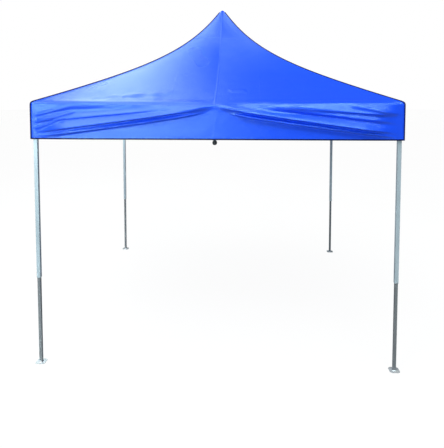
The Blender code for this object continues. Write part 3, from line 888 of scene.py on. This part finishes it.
def build_leg_fittings(steel, plastic, strap):
    """On each leg: a cap in the tube's top, button bosses, a weld round the foot and a canopy strap."""
    cap = block_mesh((OUTER_LEG_WIDTH, OUTER_LEG_WIDTH, 0.003), 0.001)
    boss = ring_mesh(0.0053, 0.0043, 0.0026)
    weld = weld_mesh()
    for index, corner in enumerate(CORNERS):
        leg = side_turn(index) @ Matrix.Translation((-LEG_CENTRE, -LEG_CENTRE, 0))
        pieces = (
            ("leg_cap", cap, (0, 0, OUTER_LEG_TOP + 0.0016), f"leg_{corner}", plastic, "bracket_plastic"),
            ("leg_boss", boss, (-OUTER_LEG_WIDTH / 2, 0, LEG_BUTTON_Z), f"leg_{corner}", steel,
             "button_steel"),
            ("slider_boss", boss, (-COLLAR_HALF_WIDTH, 0, SLIDER_BUTTON_Z), f"slider_{corner}", plastic,
             "bracket_plastic"),
            ("foot_weld", weld, (0, 0, FOOT_THICKNESS), f"inner_leg_{corner}", steel, "frame_paint"),
            ("canopy_strap", strap_mesh(), (0, 0, STRAP_Z), f"leg_{corner}", strap, "canopy_cloth"),
        )
        for kind, mesh, spot, body, material, slot in pieces:
            placed = joined_mesh(kind, [(mesh, leg @ Matrix.Translation(spot))])
            new_piece(f"{kind}_{corner}", placed, [material], body, slot)


def square_ring(half, corner, steps=4):
    """(x, y) points once round a square with rounded corners."""
    points = []
    for quarter in range(4):
        turn = QUARTER * quarter + math.pi / 4
        middle = (half - corner) * np.array([math.cos(turn), math.sin(turn)]) * math.sqrt(2)
        for step in range(steps + 1):
            a = QUARTER * (quarter + step / steps)
            points.append((middle[0] + corner * math.cos(a), middle[1] + corner * math.sin(a)))
    return np.array(points)


def lofted_ring(name, section):
    """A closed band: one ring of points for each (half width, corner, height) of the section."""
    loops = []
    for half, corner, height in section:
        loop = square_ring(half, corner)
        loops.append(np.column_stack([loop, np.full(len(loop), height)]))
    points = np.array(loops + loops[:1])
    length = np.linspace(0.0, 8 * section[0][0], points.shape[1])
    heights = points[:, 0, 2]
    uvs = np.stack(np.meshgrid(length, heights - heights.mean()), axis=-1)
    return grid_mesh(name, points, uvs, closed=True)


def weld_mesh():
    """A bead of weld round the foot of the inner tube."""
    half = INNER_LEG_WIDTH / 2
    section = (
        (half - 0.0005, 0.002, 0.0), (half + 0.0026, 0.003, 0.0), (half + 0.0022, 0.003, 0.0012),
        (half + 0.0010, 0.003, 0.0022), (half - 0.0005, 0.002, 0.0028),
    )
    return lofted_ring("weld", section)


def strap_mesh():
    """A hook-and-loop strap wrapped once round the leg."""
    half = OUTER_LEG_WIDTH / 2
    section = (
        (half + 0.0003, 0.003, -0.0125), (half + 0.0018, 0.004, -0.0125), (half + 0.0020, 0.004, 0.0),
        (half + 0.0018, 0.004, 0.0125), (half + 0.0003, 0.003, 0.0125),
    )
    return lofted_ring("strap", section)


# --- finishes on the CAD nodes ---
def dress_nodes(finishes):
    """Each CAD node takes the finish whose words are in its name, and the first match counts."""
    for name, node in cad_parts.items():
        material = next(finish for word, finish in finishes if word in name)
        node.data.materials.clear()
        node.data.materials.append(material)
        if "pole" in name:
            node.data.shade_smooth()
            node.data.set_sharp_from_angle(angle=SHARP_ANGLE)


# --- studio ---
def build_floor():
    """A pale, faintly glossy floor that runs on to the white surroundings."""
    mesh = bpy.data.meshes.new("floor")
    work = bmesh.new()
    bmesh.ops.create_circle(work, cap_ends=True, segments=96, radius=FLOOR_RADIUS)
    work.to_mesh(mesh)
    work.free()
    floor = bpy.data.objects.new("floor", mesh)
    bpy.context.scene.collection.objects.link(floor)
    floor.location.z = -FLOOR_DROP
    material, tree, shader = new_material("pale_floor", (0.9, 0.9, 0.9))
    tone = mixed(tree, ramp(tree, speckle(tree, 0.6), 0.3, 0.7), (0.30, 0.30, 0.30), (0.33, 0.33, 0.33))
    tree.links.new(tone, shader.inputs["Base Color"])
    shader.inputs["Roughness"].default_value = 0.22
    glow = add_node(tree, "ShaderNodeEmission", {"Color": (1.0, 1.0, 1.0, 1.0), "Strength": 1.19})
    eye = add_node(tree, "ShaderNodeLightPath").outputs["Is Camera Ray"]
    share = maths(tree, "MULTIPLY", eye, FLOOR_GLOW)
    mix = add_node(tree, "ShaderNodeMixShader", {0: share, 1: shader.outputs[0], 2: glow.outputs[0]})
    tree.links.new(mix.outputs[0], tree.nodes["Material Output"].inputs["Surface"])
    mesh.materials.append(material)
    floor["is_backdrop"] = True


def build_world():
    """White to the eye, and a soft even fill for everything else."""
    world = bpy.data.worlds.new("studio")
    bpy.context.scene.world = world
    world.use_nodes = True
    tree = world.node_tree
    seen = add_node(tree, "ShaderNodeBackground", {"Color": (1.0, 1.0, 1.0, 1.0), "Strength": 1.0})
    fill = add_node(tree, "ShaderNodeBackground", {"Color": (0.95, 0.97, 1.0, 1.0), "Strength": 0.07})
    eye = add_node(tree, "ShaderNodeLightPath").outputs["Is Camera Ray"]
    mix = add_node(tree, "ShaderNodeMixShader", {0: eye, 1: fill.outputs[0], 2: seen.outputs[0]})
    tree.links.new(mix.outputs[0], tree.nodes["World Output"].inputs["Surface"])


def add_softbox(name, place, aim, size, power):
    light = bpy.data.lights.new(name, "AREA")
    light.shape = "RECTANGLE"
    light.size, light.size_y = size
    light.energy = power
    light.color = COOL
    box = bpy.data.objects.new(name, light)
    bpy.context.scene.collection.objects.link(box)
    box.location = place
    box.visible_camera = False
    box.rotation_euler = (Vector(aim) - Vector(place)).to_track_quat("-Z", "Y").to_euler()


def build_lights():
    """A wide, soft sun and four boxes: high behind left, low at the front left, and two high in front."""
    sun = bpy.data.lights.new("sun", "SUN")
    sun.energy = 2.0
    sun.angle = SUN_ANGLE
    lamp = bpy.data.objects.new("sun", sun)
    bpy.context.scene.collection.objects.link(lamp)
    lamp.rotation_euler = Vector(SUN_DIRECTION).to_track_quat("-Z", "Y").to_euler()
    add_softbox("roof_gloss", (-2.7, 3.9, 7.0), (-0.4, -0.4, 2.5), (2.2, 8.0), 210)
    add_softbox("front_left", (-3.1, -6.9, 3.0), (-0.7, -1.4, 1.9), (1.5, 1.6), 240)
    add_softbox("eave_gloss", (0.6, -4.6, 7.4), (0.2, -1.5, 2.1), (5.5, 1.6), 90)
    add_softbox("right_gloss", (2.5, -5.2, 6.7), (1.2, -1.5, 2.1), (1.8, 1.3), 130)


def build_camera():
    """The photograph's viewing angle, a little right of the middle and just above the eave."""
    data = bpy.data.cameras.new("camera")
    camera = bpy.data.objects.new("camera", data)
    bpy.context.scene.collection.objects.link(camera)
    bpy.context.scene.camera = camera
    camera.location = CAMERA_PLACE
    camera.rotation_euler = (QUARTER - CAMERA_PITCH, 0.0, CAMERA_YAW)
    data.sensor_width = 36.0
    data.lens = CAMERA_LENS
    data.shift_y = CAMERA_SHIFT
    data.clip_end = 200.0


def build_object():
    light_grey = painted_steel("outer_leg_paint", (0.60, 0.68, 0.74), (0.84, 0.86, 0.88), rub=0.15)
    foot_grey = (0.70, 0.71, 0.72)
    mid_grey = painted_steel("inner_leg_paint", (0.27, 0.275, 0.29), (0.50, 0.51, 0.52), foot=foot_grey)
    bar_grey = painted_steel("bar_paint", (0.60, 0.64, 0.67), (0.8, 0.8, 0.8))
    dark_plastic = moulded_plastic("bracket_nylon", (0.035, 0.037, 0.042))
    zinc = bright_steel("zinc_steel", (0.72, 0.72, 0.74))
    cloth = canopy_cloth("blue_polyester", (0.008, 0.080, 0.93), (0.006, 0.062, 0.84))
    seam = sewn_strip("seam_tape", (0.008, 0.080, 0.90), (0.02, 0.11, 0.92), coated=True)
    navy = sewn_strip("navy_piping", (0.004, 0.009, 0.075), (0.02, 0.03, 0.2), coated=False)
    strap = sewn_strip("strap_web", (0.012, 0.012, 0.014), (0.03, 0.03, 0.03), coated=False)
    dress_nodes((
        ("outer_leg", light_grey), ("inner_leg", mid_grey), ("_bar_", bar_grey), ("pole", bar_grey),
        ("button", zinc), ("canopy", cloth), ("", dark_plastic),
    ))
    group = fold_group()
    canopy = build_canopy(group, cloth)
    strips = [
        build_middle_seams(group, seam),
        build_ridge_piping(group, navy),
        build_cap_seam(group, seam),
        build_hem(group, navy),
    ]
    build_bar_fittings(zinc, dark_plastic)
    build_knob_grips(dark_plastic)
    build_leg_fittings(zinc, dark_plastic, strap)


def write_size():
    """Works out the CAD model's box and the visual model's, and keeps neither."""
    boxes = {"cad": CAD_BOX, "visual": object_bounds()}
    {name: [list(corner) for corner in box] for name, box in boxes.items()}


build_object()
build_floor()
build_world()
build_lights()
build_camera()
bpy.context.scene.view_settings.view_transform = "Standard"
write_size()
